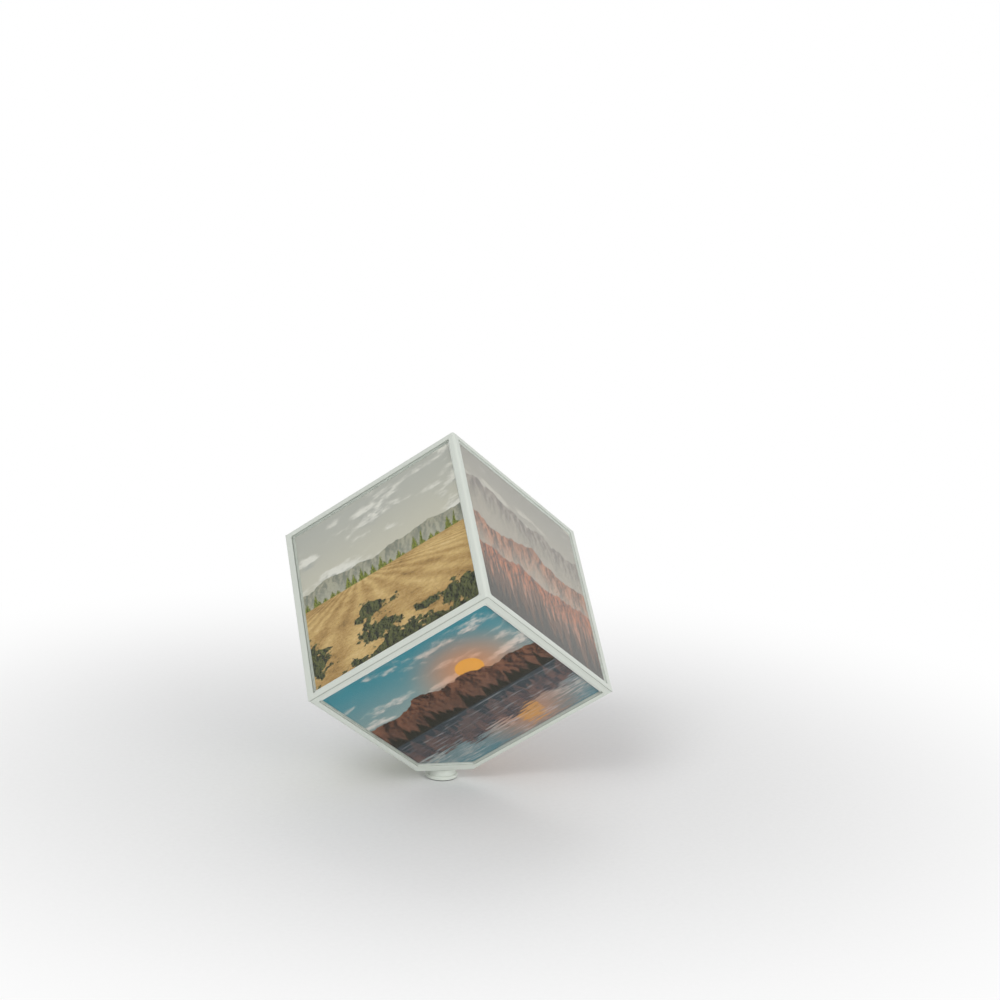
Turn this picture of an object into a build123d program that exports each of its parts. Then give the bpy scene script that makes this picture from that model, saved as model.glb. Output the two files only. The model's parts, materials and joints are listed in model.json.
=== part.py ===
from build123d import *
import math
import os

os.makedirs("parts", exist_ok=True)

# Cube, its pictures, clear covers and walls, in millimetres
EDGE_LENGTH = 110.0
PRINT_THICKNESS = 0.3
PRINT_CLEARANCE = 0.3
PRINT_HEADROOM = 0.1
COVER_RIM = 0.75
COVER_GAP = 0.4
COVER_THICKNESS = 1.5
COVER_SINK = 0.3
COVER_CORNER = 1.6
COVER_BEVEL = 0.4
FRAME_BORDER = 3.55
RECESS_CORNER = 0.6
FLOOR_WALL = 1.9
CORNER_CUT = 23.0
CORNER_WALL = 3.0
EDGE_RADIUS = 1.6
SEAM_WIDTH = 0.3
SEAM_DEPTH = 0.8

# Round foot and its rubber pad
FLANGE_HEIGHT = 2.4
FLANGE_ROUND = 0.5
HUB_RADIUS = 7.7
FOOT_HEIGHT = 5.8
FOOT_GAP = 0.7
PAD_RADIUS = 7.8
PAD_RIM = 0.7
PAD_THICKNESS = 1.2
PAD_PROUD = 0.4

# Upright spindle, bush and thrust washer
SPINDLE_RADIUS = 2.0
SPINDLE_FLAT = 0.45
AXLE_RADIUS = 0.9
RUN_CLEARANCE = 0.05
BUSH_WALL = 1.2
BUSH_LENGTH = 12.0
BUSH_FLANGE_RADIUS = 4.6
BUSH_FLANGE = 0.8
NECK_WALL = 1.6
WASHER_PLAY = 0.05

# Reduction gears: one tooth form, wheels on two parallel axes and the motor on a third
GEAR_MODULE = 0.5
WHEEL_TEETH = 40
PINION_TEETH = 10
PROFILE_SHIFT = 0.35
ADDENDUM = 0.85
DEDENDUM = 1.1
PRESSURE_ANGLE = math.radians(20)
TOOTH_THINNING = 0.05
WHEEL_WIDTH = 2.0
LEVEL_PITCH = 3.0
PINION_OVERLAP = 0.3
FIRST_LIFT = 0.5

# Gearbox case, its ears and screws
BOX_AIR = 0.75
BOX_WALL = 1.5
BOX_FLOOR = 1.8
BOX_ROOM = 2.0
LOBE_AIR = 1.2
LID_AIR = 0.8
LID_THICKNESS = 1.8
EAR_OFFSET = 3.0
EAR_RADIUS = 3.4
COLUMN_RADIUS = 3.0
PILLAR_RADIUS = 2.6
PILLAR_OFFSET = 1.6
SCREW_RADIUS = 1.1
SCREW_LENGTH = 7.0
SCREW_HEAD_RADIUS = 2.1
SCREW_HEAD = 1.4

# Motor
MOTOR_RADIUS = 10.0
MOTOR_FLAT = 7.5
MOTOR_CAN = 20.0
MOTOR_CAP = 4.8
MOTOR_ROUND = 1.2
MOTOR_BOSS_RADIUS = 3.0
MOTOR_BOSS = 1.5
MOTOR_SHAFT_RADIUS = 1.0
MOTOR_SHAFT_DEPTH = 8.0
MOTOR_FIT = 0.1
CLIP_THICKNESS = 1.6
CLIP_WIDTH = 7.0
CLIP_HOOK = 1.2
CLIP_HOOK_HEIGHT = 1.6
TERMINAL_WIDTH = 2.4
TERMINAL_THICKNESS = 0.4
TERMINAL_HEIGHT = 3.0
TERMINAL_SPACING = 6.5

# Battery cell, its holder and contacts behind the lower front picture
CELL_RADIUS = 7.1
CELL_LENGTH = 49.2
CELL_NUB_RADIUS = 2.7
CELL_NUB = 1.3
CELL_ROUND = 0.6
CELL_SINK = 0.3
CELL_CLEARANCE = 0.3
CONTACT_THICKNESS = 0.4
CONTACT_WIDTH = 9.0
CONTACT_TAIL = 3.0
CONTACT_TAIL_WIDTH = 3.0
LEAF_REACH = 3.2
LEAF_WIDTH = 6.0
HOLDER_WALL = 1.5
HOLDER_FLANGE = 5.6
HOLDER_FLANGE_THICKNESS = 1.4
PEG_RADIUS = 1.0
PEG_CLEARANCE = 0.1
PEG_HEAD = 0.6
PEG_HEAD_RADIUS = 1.6

# Slide switch beside the battery holder
SWITCH_LENGTH = 9.0
SWITCH_WIDTH = 4.4
SWITCH_HEIGHT = 4.0
SWITCH_WALL = 0.8
SWITCH_TRAVEL = 2.0
SWITCH_SPACING = 5.0
KNOB_LENGTH = 2.4
KNOB_WIDTH = 2.0
KNOB_BASE = 1.0
KNOB_CLEARANCE = 0.15
KNOB_SINK = 0.4
PIN_LENGTH = 2.4
PIN_SIDE = 0.8
PIN_SPACING = 4.0

# Screwed and tabbed joint between the two shells
JOINT_GAP = 0.1
BOSS_SIDE = 8.0
TAB_LENGTH = 22.0
TAB_HEIGHT = 9.0
TAB_THICKNESS = 1.6
SINK_RADIUS = 2.3
SINK_ANGLE = 90

# Insulated leads
LEAD_RADIUS = 0.6
LEAD_STUB = 10.0

# Sizes that follow from the ones above
COVER_INSET = FRAME_BORDER + COVER_GAP
POCKET_INSET = COVER_INSET + COVER_RIM
PRINT_INSET = POCKET_INSET + PRINT_CLEARANCE
RECESS_DEPTH = COVER_SINK + COVER_THICKNESS
WALL = RECESS_DEPTH + FLOOR_WALL
CUT_HEIGHT = FOOT_HEIGHT + FOOT_GAP
LOW_CORNER = Vector(0, 0, CUT_HEIGHT - CORNER_CUT / math.sqrt(3))
TOP_CORNER = LOW_CORNER + Vector(0, 0, EDGE_LENGTH * math.sqrt(3))
FLANGE_RADIUS = PAD_RADIUS + PAD_RIM
GEAR_CENTRES = GEAR_MODULE * (WHEEL_TEETH + PINION_TEETH) / 2
WHEEL_TIP = GEAR_MODULE * (WHEEL_TEETH / 2 + ADDENDUM - PROFILE_SHIFT)
PINION_TIP = GEAR_MODULE * (PINION_TEETH / 2 + ADDENDUM + PROFILE_SHIFT)
PIN_AXIS = Vector(0, GEAR_CENTRES, 0)
MOTOR_AXIS = Vector(0, 2 * GEAR_CENTRES, 0)
BOX_RADIUS = WHEEL_TIP + BOX_AIR + BOX_WALL
LOBE_RADIUS = PINION_TIP + LOBE_AIR + BOX_WALL
BOX_REACH = max(PIN_AXIS.Y / 2 + BOX_RADIUS, MOTOR_AXIS.Y / 2 + LOBE_RADIUS) + BOX_ROOM
BOX_SEAT = LOW_CORNER.Z + math.sqrt(2) * (BOX_REACH + WALL * math.sqrt(1.5))
FIRST_LEVEL = BOX_SEAT + BOX_FLOOR + FIRST_LIFT
LID_SEAT = FIRST_LEVEL + 3 * LEVEL_PITCH + WHEEL_WIDTH + LID_AIR
LID_TOP = LID_SEAT + LID_THICKNESS
CAN_TOP = LID_TOP + MOTOR_CAN
CAP_TOP = CAN_TOP + MOTOR_CAP
BUSH_RADIUS = SPINDLE_RADIUS + RUN_CLEARANCE + BUSH_WALL
EAR_ANGLES = (-30, 210, 90)
EAR_WALLS = (BOX_RADIUS, BOX_RADIUS, MOTOR_AXIS.Y + LOBE_RADIUS)
EAR_POINTS = [
    ((wall + EAR_OFFSET) * math.cos(math.radians(angle)), (wall + EAR_OFFSET) * math.sin(math.radians(angle)))
    for angle, wall in zip(EAR_ANGLES, EAR_WALLS)
]
PILLAR_POINTS = [(side * (BOX_RADIUS + PILLAR_OFFSET), GEAR_CENTRES / 2) for side in (-1, 1)]
CELL_DEPTH = RECESS_DEPTH + CELL_SINK + CELL_RADIUS
BAY_DEPTH = CELL_DEPTH + CELL_RADIUS + CELL_CLEARANCE
BAY_WIDTH = 2 * (CELL_RADIUS + CELL_CLEARANCE)
BAY_LENGTH = CELL_LENGTH + CELL_NUB + LEAF_REACH + 2 * CONTACT_THICKNESS
HOLDER_DEPTH = BAY_DEPTH + HOLDER_WALL
SWITCH_Y = -(BAY_WIDTH / 2 + HOLDER_WALL + SWITCH_SPACING)
SLOT_LENGTH = KNOB_LENGTH + SWITCH_TRAVEL + 2 * KNOB_CLEARANCE
SLOT_WIDTH = KNOB_WIDTH + 2 * KNOB_CLEARANCE
BOSS_DEPTH = WALL + BOSS_SIDE / 2
UPPER_NAMES = ("upper_right", "upper_back", "upper_left")
LOWER_NAMES = ("lower_left", "lower_front", "lower_right")


def edge_direction(k):
    """Unit vector of one of the three cube edges that leave the low corner."""
    angle = math.radians(120 * (k % 3) - 30)
    flat = math.sqrt(2 / 3)
    return Vector(flat * math.cos(angle), flat * math.sin(angle), 1 / math.sqrt(3))


def upper_plane(k):
    """Plane of an upper face, its local low-left corner at the top of the cube."""
    side, other = edge_direction(k + 1), edge_direction(k + 2)
    return Plane(TOP_CORNER - (side + other) * (EDGE_LENGTH / 2), x_dir=-side, z_dir=edge_direction(k))


def lower_plane(k):
    """Plane of a lower face, its local low-left corner at the standing corner."""
    side, other = edge_direction(k + 2), edge_direction(k + 1)
    return Plane(LOW_CORNER + (side + other) * (EDGE_LENGTH / 2), x_dir=side, z_dir=-edge_direction(k))


def face_outline(plane, inset, corner_radius, is_lower):
    """Square outline set in from a face's edges, cut off beside the standing corner."""
    outwards = Axis((0, 0, 0), (1, 1, 0))
    with BuildSketch(plane) as outline:
        Rectangle(EDGE_LENGTH - 2 * inset, EDGE_LENGTH - 2 * inset)
        corners = outline.vertices().sort_by(outwards)
        fillet(corners[1:] if is_lower else corners, radius=corner_radius)
        if is_lower:
            chamfer(outline.vertices().sort_by(outwards)[0], length=CORNER_CUT - (2 - math.sqrt(2)) * inset)
    return outline.sketch


def shell_panels(plane_of):
    """Three mitred square panels that meet in one corner of the cube."""
    for k in range(3):
        with BuildSketch(plane_of(k)) as outside:
            Rectangle(EDGE_LENGTH, EDGE_LENGTH)
        with BuildSketch(plane_of(k).offset(-WALL)) as inside:
            Rectangle(EDGE_LENGTH - 2 * WALL, EDGE_LENGTH - 2 * WALL)
        loft([outside.sketch, inside.sketch], ruled=True)


def round_corner_edges(shell, corner, sign):
    """Rounds the three moulded edges that run out from a shell's own corner."""
    middles = [corner + edge_direction(k) * (sign * EDGE_LENGTH / 2) for k in range(3)]
    fillet([shell.edges().sort_by_distance(middle)[0] for middle in middles], radius=EDGE_RADIUS)


def cut_recesses(plane_of, is_lower):
    """Square recess in each face for a picture and its cover."""
    for k in range(3):
        recess = face_outline(plane_of(k), FRAME_BORDER, RECESS_CORNER, is_lower)
        extrude(recess, amount=-RECESS_DEPTH, mode=Mode.SUBTRACT)


def cut_seam():
    """Shadow groove along the six edges where the two shells meet."""
    for k in range(3):
        face = lower_plane(k)
        for across, along in ((face.x_dir, face.y_dir), (face.y_dir, face.x_dir)):
            middle = face.origin + across * (EDGE_LENGTH / 2)
            with BuildSketch(Plane(middle, x_dir=along, z_dir=-across - face.z_dir)) as strip:
                Rectangle(EDGE_LENGTH, SEAM_WIDTH)
            extrude(strip.sketch, amount=SEAM_DEPTH, mode=Mode.SUBTRACT)


def tooth_half_angle(radius, teeth, shift):
    """Half the angle that an involute tooth fills at a radius."""
    pitch_radius = GEAR_MODULE * teeth / 2
    base_radius = pitch_radius * math.cos(PRESSURE_ANGLE)
    turn = math.acos(base_radius / max(radius, base_radius))
    full_tooth = (math.pi / 2 + 2 * shift * math.tan(PRESSURE_ANGLE)) / teeth
    at_pitch = full_tooth - TOOTH_THINNING / (2 * pitch_radius)
    return at_pitch + math.tan(PRESSURE_ANGLE) - PRESSURE_ANGLE - math.tan(turn) + turn


def gear_section(height, teeth, shift, centre, first_angle):
    """Toothed section with each flank drawn through its root, middle and tip."""
    pitch_radius = GEAR_MODULE * teeth / 2
    root = pitch_radius - GEAR_MODULE * (DEDENDUM - shift)
    tip = pitch_radius + GEAR_MODULE * (ADDENDUM + shift)
    radii = (root, (root + tip) / 2, tip)
    points = []
    for tooth in range(teeth):
        middle = first_angle + 2 * math.pi * tooth / teeth
        rising = [(radius, middle - tooth_half_angle(radius, teeth, shift)) for radius in radii]
        falling = [(radius, middle + tooth_half_angle(radius, teeth, shift)) for radius in reversed(radii)]
        points += rising + falling
    with BuildSketch(Plane.XY.offset(height)) as section:
        with BuildLine():
            Polyline(
                *[(centre.X + r * math.cos(a), centre.Y + r * math.sin(a)) for r, a in points],
                close=True,
            )
        make_face()
    return section.sketch


def level_height(level):
    """Underside of the wheel on one level of the gear stack."""
    return FIRST_LEVEL + level * LEVEL_PITCH


def wheel_body(level, centre, towards):
    """Toothed wheel on one level, with a tooth on the line of centres."""
    section = gear_section(level_height(level), WHEEL_TEETH, -PROFILE_SHIFT, centre, towards)
    extrude(section, amount=WHEEL_WIDTH)


def pinion_body(level, centre, towards, top):
    """Pinion that reaches one level, with a gap on the line of centres."""
    bottom = level_height(level) - PINION_OVERLAP
    section = gear_section(bottom, PINION_TEETH, PROFILE_SHIFT, centre, towards + math.pi / PINION_TEETH)
    extrude(section, amount=top - bottom)


def round_bar(centre, radius, bottom, top, mode=Mode.ADD):
    """Round solid along an upright axis."""
    with Locations((centre.X, centre.Y, bottom)):
        Cylinder(radius, top - bottom, align=(Align.CENTER, Align.CENTER, Align.MIN), mode=mode)


def bore(centre, radius, bottom, top):
    """Round hole along an upright axis."""
    round_bar(centre, radius, bottom, top, mode=Mode.SUBTRACT)


def flat_section(radius, flat):
    """Round section with one flat side, for a driven shaft and its socket."""
    Circle(radius)
    with Locations((0, radius)):
        Rectangle(2 * radius, 2 * flat, mode=Mode.SUBTRACT)


def finish(builder, name):
    """Labels a finished piece and writes it to its own file."""
    builder.part.label = name
    export_step(builder.part, f"parts/{name}.step")


AXIS = Vector(0, 0, 0)
TO_PIN = math.pi / 2
TO_AXIS = -math.pi / 2
FRONT = lower_plane(1)

# Foot: turned disc with a wider rim, a pad seat below and a keyed socket for the spindle
with BuildPart() as foot:
    round_bar(AXIS, FLANGE_RADIUS, PAD_PROUD, FLANGE_HEIGHT)
    fillet(foot.edges().filter_by(GeomType.CIRCLE), radius=FLANGE_ROUND)
    round_bar(AXIS, HUB_RADIUS, FLANGE_HEIGHT, FOOT_HEIGHT)
    fillet(foot.edges().group_by(Axis.Z)[-1], radius=FLANGE_ROUND)
    bore(AXIS, PAD_RADIUS, PAD_PROUD, PAD_THICKNESS)
    with BuildSketch(Plane.XY.offset(PAD_THICKNESS)):
        flat_section(SPINDLE_RADIUS, SPINDLE_FLAT)
    extrude(amount=FOOT_HEIGHT, mode=Mode.SUBTRACT)
finish(foot, "foot")

# Rubber pad under the foot
with BuildPart() as foot_pad:
    round_bar(AXIS, PAD_RADIUS, 0, PAD_THICKNESS)
finish(foot_pad, "foot_pad")

# Spindle: keyed in the foot and the last wheel, with a thin upper end that carries a gear and the lid
SPINDLE_SHOULDER = level_height(0) + WHEEL_WIDTH
with BuildPart() as spindle:
    round_bar(AXIS, SPINDLE_RADIUS, FOOT_HEIGHT, level_height(0))
    for bottom, top in ((PAD_THICKNESS, FOOT_HEIGHT), (level_height(0), SPINDLE_SHOULDER)):
        with BuildSketch(Plane.XY.offset(bottom)):
            flat_section(SPINDLE_RADIUS, SPINDLE_FLAT)
        extrude(amount=top - bottom)
    round_bar(AXIS, AXLE_RADIUS, SPINDLE_SHOULDER, LID_TOP)
finish(spindle, "spindle")

# Thrust washer that the cube turns on
with BuildPart() as thrust_washer:
    round_bar(AXIS, BUSH_FLANGE_RADIUS, FOOT_HEIGHT, CUT_HEIGHT - WASHER_PLAY)
    bore(AXIS, SPINDLE_RADIUS + RUN_CLEARANCE, FOOT_HEIGHT, CUT_HEIGHT)
finish(thrust_washer, "thrust_washer")

# Last wheel of the train, fixed to the spindle
with BuildPart() as output_gear:
    wheel_body(0, AXIS, TO_PIN)
    with BuildSketch(Plane.XY.offset(level_height(0))):
        flat_section(SPINDLE_RADIUS, SPINDLE_FLAT)
    extrude(amount=WHEEL_WIDTH, mode=Mode.SUBTRACT)
finish(output_gear, "output_gear")

# Three stepped gears, alternately on the fixed pin and on the spindle's thin end
for name, level, centre, towards in (
    ("third_gear", 1, PIN_AXIS, TO_AXIS),
    ("second_gear", 2, AXIS, TO_PIN),
    ("first_gear", 3, PIN_AXIS, TO_AXIS),
):
    with BuildPart() as stepped_gear:
        wheel_body(level, centre, towards)
        pinion_body(level - 1, centre, towards, level_height(level))
        bore(centre, AXLE_RADIUS + RUN_CLEARANCE, BOX_SEAT, LID_TOP)
    finish(stepped_gear, name)

# Motor pinion and motor shaft, across the fixed pin from the spindle
MOTOR_PINION_TOP = level_height(3) + WHEEL_WIDTH + PINION_OVERLAP
with BuildPart() as motor_pinion:
    pinion_body(3, MOTOR_AXIS, TO_AXIS, MOTOR_PINION_TOP)
    bore(MOTOR_AXIS, MOTOR_SHAFT_RADIUS, BOX_SEAT, LID_TOP)
finish(motor_pinion, "motor_pinion")

with BuildPart() as motor_shaft:
    shaft_bottom = level_height(3) - PINION_OVERLAP
    round_bar(MOTOR_AXIS, MOTOR_SHAFT_RADIUS, shaft_bottom, LID_TOP + MOTOR_SHAFT_DEPTH)
finish(motor_shaft, "motor_shaft")

# Fixed pin that carries the first and third gears
with BuildPart() as gear_pin:
    round_bar(PIN_AXIS, AXLE_RADIUS, BOX_SEAT, LID_TOP)
finish(gear_pin, "gear_pin")


def box_outline(radius, lobe_radius):
    """Rounded outline round both gear axes, with a lobe out to the motor's axis."""
    with Locations((0, PIN_AXIS.Y / 2)):
        SlotCenterToCenter(GEAR_CENTRES, 2 * radius, rotation=90)
    with Locations((0, (PIN_AXIS.Y + MOTOR_AXIS.Y) / 2)):
        SlotCenterToCenter(GEAR_CENTRES, 2 * lobe_radius, rotation=90)


# Gearbox case: floor with three ears, walls round the three axes and two screw pillars
with BuildPart() as gearbox_case:
    with BuildSketch(Plane.XY.offset(BOX_SEAT)):
        box_outline(BOX_RADIUS, LOBE_RADIUS)
        for point in EAR_POINTS:
            SlotCenterPoint((point[0] / 2, point[1] / 2), point, 2 * EAR_RADIUS)
    extrude(amount=BOX_FLOOR)
    with BuildSketch(Plane.XY.offset(BOX_SEAT)):
        box_outline(BOX_RADIUS, LOBE_RADIUS)
        with Locations(*PILLAR_POINTS):
            Circle(PILLAR_RADIUS)
    extrude(amount=LID_SEAT - BOX_SEAT)
    with BuildSketch(Plane.XY.offset(BOX_SEAT + BOX_FLOOR)):
        box_outline(BOX_RADIUS - BOX_WALL, LOBE_RADIUS - BOX_WALL)
    extrude(amount=LID_SEAT - BOX_SEAT - BOX_FLOOR, mode=Mode.SUBTRACT)
    bore(AXIS, SPINDLE_RADIUS + RUN_CLEARANCE, BOX_SEAT, LID_SEAT)
    bore(PIN_AXIS, AXLE_RADIUS, BOX_SEAT, LID_SEAT)
    for point in EAR_POINTS:
        bore(Vector(*point), SCREW_RADIUS, BOX_SEAT, LID_SEAT)
    for point in PILLAR_POINTS:
        bore(Vector(*point), SCREW_RADIUS, LID_TOP - SCREW_LENGTH, LID_SEAT)
finish(gearbox_case, "gearbox_case")

# Gearbox lid: closes the case and holds the motor between two sprung clips
CLIP_X = MOTOR_FLAT + MOTOR_FIT
with BuildPart() as gearbox_lid:
    with BuildSketch(Plane.XY.offset(LID_SEAT)):
        box_outline(BOX_RADIUS, MOTOR_RADIUS)
        with Locations(*PILLAR_POINTS):
            Circle(PILLAR_RADIUS)
    extrude(amount=LID_THICKNESS)
    bore(AXIS, AXLE_RADIUS + RUN_CLEARANCE, LID_SEAT, LID_TOP)
    bore(MOTOR_AXIS, MOTOR_BOSS_RADIUS + MOTOR_FIT, LID_SEAT, LID_TOP)
    bore(PIN_AXIS, AXLE_RADIUS, LID_SEAT, LID_TOP)
    for point in PILLAR_POINTS:
        bore(Vector(*point), SCREW_RADIUS, LID_SEAT, LID_TOP)
    for side in (-1, 1):
        with BuildSketch(Plane.XZ.offset(-MOTOR_AXIS.Y)):
            with BuildLine():
                Polyline(
                    (side * CLIP_X, LID_TOP),
                    (side * (CLIP_X + CLIP_THICKNESS), LID_TOP),
                    (side * (CLIP_X + CLIP_THICKNESS), CAP_TOP + MOTOR_FIT),
                    (side * CLIP_X, CAP_TOP + MOTOR_FIT + CLIP_HOOK_HEIGHT),
                    (side * (CLIP_X - CLIP_HOOK), CAP_TOP + MOTOR_FIT),
                    (side * CLIP_X, CAP_TOP + MOTOR_FIT),
                    close=True,
                )
            make_face()
        extrude(amount=CLIP_WIDTH / 2, both=True)
finish(gearbox_lid, "gearbox_lid")


def motor_outline(shrink):
    """Round motor section with two flat sides."""
    with Locations((MOTOR_AXIS.X, MOTOR_AXIS.Y)):
        Circle(MOTOR_RADIUS - shrink)
        Rectangle(2 * (MOTOR_FLAT - shrink), 2 * MOTOR_RADIUS, mode=Mode.INTERSECT)


# Motor can with its bearing boss
with BuildPart() as motor_can:
    with BuildSketch(Plane.XY.offset(LID_TOP)):
        motor_outline(0)
    extrude(amount=MOTOR_CAN)
    fillet(motor_can.edges().group_by(Axis.Z)[0], radius=MOTOR_ROUND)
    round_bar(MOTOR_AXIS, MOTOR_BOSS_RADIUS, LID_TOP - MOTOR_BOSS, LID_TOP + MOTOR_ROUND)
    shaft_end = LID_TOP + MOTOR_SHAFT_DEPTH + MOTOR_FIT
    bore(MOTOR_AXIS, MOTOR_SHAFT_RADIUS + RUN_CLEARANCE, LID_TOP - MOTOR_BOSS, shaft_end)
finish(motor_can, "motor_can")

# Motor end cap with its rear bearing bump
with BuildPart() as motor_end_cap:
    with BuildSketch(Plane.XY.offset(CAN_TOP)):
        motor_outline(MOTOR_FIT)
    extrude(amount=MOTOR_CAP)
    fillet(motor_end_cap.edges().group_by(Axis.Z)[-1], radius=MOTOR_ROUND / 2)
    round_bar(MOTOR_AXIS, MOTOR_BOSS_RADIUS, CAP_TOP, CAP_TOP + MOTOR_BOSS)
finish(motor_end_cap, "motor_end_cap")

# Two brass terminals on the end cap
with BuildPart() as motor_terminals:
    for side in (-1, 1):
        with BuildSketch(Plane.XY.offset(CAP_TOP)):
            with Locations((MOTOR_AXIS.X, MOTOR_AXIS.Y + side * TERMINAL_SPACING)):
                Rectangle(TERMINAL_WIDTH, TERMINAL_THICKNESS)
        extrude(amount=TERMINAL_HEIGHT)
finish(motor_terminals, "motor_terminals")

# Bush pressed into the neck of the standing corner
with BuildPart() as spindle_bush:
    round_bar(AXIS, BUSH_FLANGE_RADIUS, CUT_HEIGHT, CUT_HEIGHT + BUSH_FLANGE)
    round_bar(AXIS, BUSH_RADIUS, CUT_HEIGHT, CUT_HEIGHT + BUSH_LENGTH)
    bore(AXIS, SPINDLE_RADIUS + RUN_CLEARANCE, CUT_HEIGHT, CUT_HEIGHT + BUSH_LENGTH)
finish(spindle_bush, "spindle_bush")

PEG_X = (BAY_LENGTH + HOLDER_WALL + HOLDER_FLANGE) / 2
PEG_Y = BAY_WIDTH / 2 - PEG_HEAD_RADIUS
PEG_POINTS = [(x * PEG_X, y * PEG_Y) for x in (-1, 1) for y in (-1, 1)]

# Lower shell: three lower faces, the cut corner with its neck, and the seats inside
with BuildPart() as lower_shell:
    shell_panels(lower_plane)
    round_bar(AXIS, CORNER_CUT, CUT_HEIGHT, CUT_HEIGHT + CORNER_WALL)
    round_bar(AXIS, BUSH_RADIUS + NECK_WALL, CUT_HEIGHT, CUT_HEIGHT + BUSH_LENGTH)
    for point in EAR_POINTS:
        round_bar(Vector(*point), COLUMN_RADIUS, CUT_HEIGHT, BOX_SEAT)
    split(bisect_by=Plane.XY.offset(CUT_HEIGHT), keep=Keep.TOP)
    for k in range(3):
        split(bisect_by=lower_plane(k), keep=Keep.BOTTOM)
    round_corner_edges(lower_shell, LOW_CORNER, 1)
    cut_recesses(lower_plane, True)
    bore(AXIS, BUSH_RADIUS, CUT_HEIGHT, CUT_HEIGHT + BUSH_LENGTH)
    bore(AXIS, BUSH_FLANGE_RADIUS, CUT_HEIGHT, CUT_HEIGHT + BUSH_FLANGE)
    for point in EAR_POINTS:
        bore(Vector(*point), SCREW_RADIUS, BOX_SEAT + BOX_FLOOR - SCREW_LENGTH, BOX_SEAT)
    cut_seam()
    for k in range(3):
        with BuildSketch(lower_plane(k).offset(-WALL)):
            with Locations((EDGE_LENGTH / 2 - WALL - JOINT_GAP - BOSS_SIDE / 2, 0)):
                Rectangle(BOSS_SIDE, BOSS_SIDE)
        extrude(amount=-BOSS_SIDE)
        with BuildSketch(lower_plane(k).offset(-WALL)):
            with Locations((0, EDGE_LENGTH / 2 - WALL - JOINT_GAP - TAB_THICKNESS / 2)):
                Rectangle(TAB_LENGTH, TAB_THICKNESS)
        extrude(amount=-TAB_HEIGHT)
        with BuildSketch(upper_plane(k + 2).offset(-WALL)):
            with Locations((EDGE_LENGTH / 2 - BOSS_DEPTH, 0)):
                Circle(SCREW_RADIUS)
        extrude(amount=-SCREW_LENGTH, mode=Mode.SUBTRACT)
    with BuildSketch(FRONT.offset(-RECESS_DEPTH)):
        Rectangle(BAY_LENGTH, BAY_WIDTH)
        with Locations((0, SWITCH_Y)):
            Rectangle(SLOT_LENGTH, SLOT_WIDTH)
    extrude(amount=-FLOOR_WALL, mode=Mode.SUBTRACT)
    with BuildSketch(FRONT.offset(-WALL)):
        with Locations(*PEG_POINTS):
            Circle(PEG_RADIUS)
    extrude(amount=-HOLDER_FLANGE_THICKNESS)
    with BuildSketch(FRONT.offset(-WALL - HOLDER_FLANGE_THICKNESS)):
        with Locations(*PEG_POINTS):
            Circle(PEG_HEAD_RADIUS)
    extrude(amount=-PEG_HEAD)
finish(lower_shell, "lower_shell")

# Upper shell: three upper faces with countersunk holes under the pictures
with BuildPart() as upper_shell:
    shell_panels(upper_plane)
    round_corner_edges(upper_shell, TOP_CORNER, -1)
    cut_recesses(upper_plane, False)
    cut_seam()
    for k in range(3):
        with Locations(upper_plane(k).offset(-RECESS_DEPTH)):
            with Locations((EDGE_LENGTH / 2 - BOSS_DEPTH, 0)):
                CounterSinkHole(SCREW_RADIUS, SINK_RADIUS, depth=WALL, counter_sink_angle=SINK_ANGLE)
finish(upper_shell, "upper_shell")

# Pictures and clear covers, one pair on each face
for names, plane_of, is_lower in ((UPPER_NAMES, upper_plane, False), (LOWER_NAMES, lower_plane, True)):
    for k, name in enumerate(names):
        floor = plane_of(k).offset(-RECESS_DEPTH)
        with BuildPart() as picture:
            extrude(face_outline(floor, PRINT_INSET, RECESS_CORNER, is_lower), amount=PRINT_THICKNESS)
        finish(picture, f"picture_{name}")
        with BuildPart() as cover:
            extrude(face_outline(floor, COVER_INSET, COVER_CORNER, is_lower), amount=COVER_THICKNESS)
            chamfer(cover.faces().sort_by(Axis(floor.origin, floor.z_dir))[-1].edges(), length=COVER_BEVEL)
            pocket = face_outline(floor, POCKET_INSET, RECESS_CORNER, is_lower)
            extrude(pocket, amount=PRINT_THICKNESS + PRINT_HEADROOM, mode=Mode.SUBTRACT)
        finish(cover, f"cover_{name}")

# Holder for one cell, staked behind the opening in the lower front face
CELL_LINE = FRONT.offset(-CELL_DEPTH)
CELL_SECTION = Plane(CELL_LINE.origin, x_dir=FRONT.y_dir, z_dir=FRONT.x_dir)
CONTACT_BOTTOM = CELL_DEPTH + CONTACT_WIDTH / 2
TAIL_BOTTOM = HOLDER_DEPTH + CONTACT_TAIL
with BuildPart() as battery_holder:
    with BuildSketch(FRONT.offset(-WALL)):
        Rectangle(BAY_LENGTH + 2 * HOLDER_FLANGE, BAY_WIDTH)
        with Locations(*PEG_POINTS):
            Circle(PEG_RADIUS + PEG_CLEARANCE, mode=Mode.SUBTRACT)
    extrude(amount=-HOLDER_FLANGE_THICKNESS)
    with BuildSketch(FRONT.offset(-WALL)):
        Rectangle(BAY_LENGTH + 2 * HOLDER_WALL, BAY_WIDTH + 2 * HOLDER_WALL)
    extrude(amount=WALL - HOLDER_DEPTH)
    with BuildSketch(CELL_SECTION):
        Circle(BAY_WIDTH / 2)
        Rectangle(BAY_WIDTH, CELL_DEPTH, align=(Align.CENTER, Align.MIN))
    extrude(amount=BAY_LENGTH / 2, both=True, mode=Mode.SUBTRACT)
    with BuildSketch(CELL_LINE):
        for side in (-1, 1):
            with Locations((side * (BAY_LENGTH - CONTACT_THICKNESS) / 2, 0)):
                Rectangle(CONTACT_THICKNESS, CONTACT_TAIL_WIDTH)
    extrude(amount=CELL_DEPTH - HOLDER_DEPTH, mode=Mode.SUBTRACT)
finish(battery_holder, "battery_holder")


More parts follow.
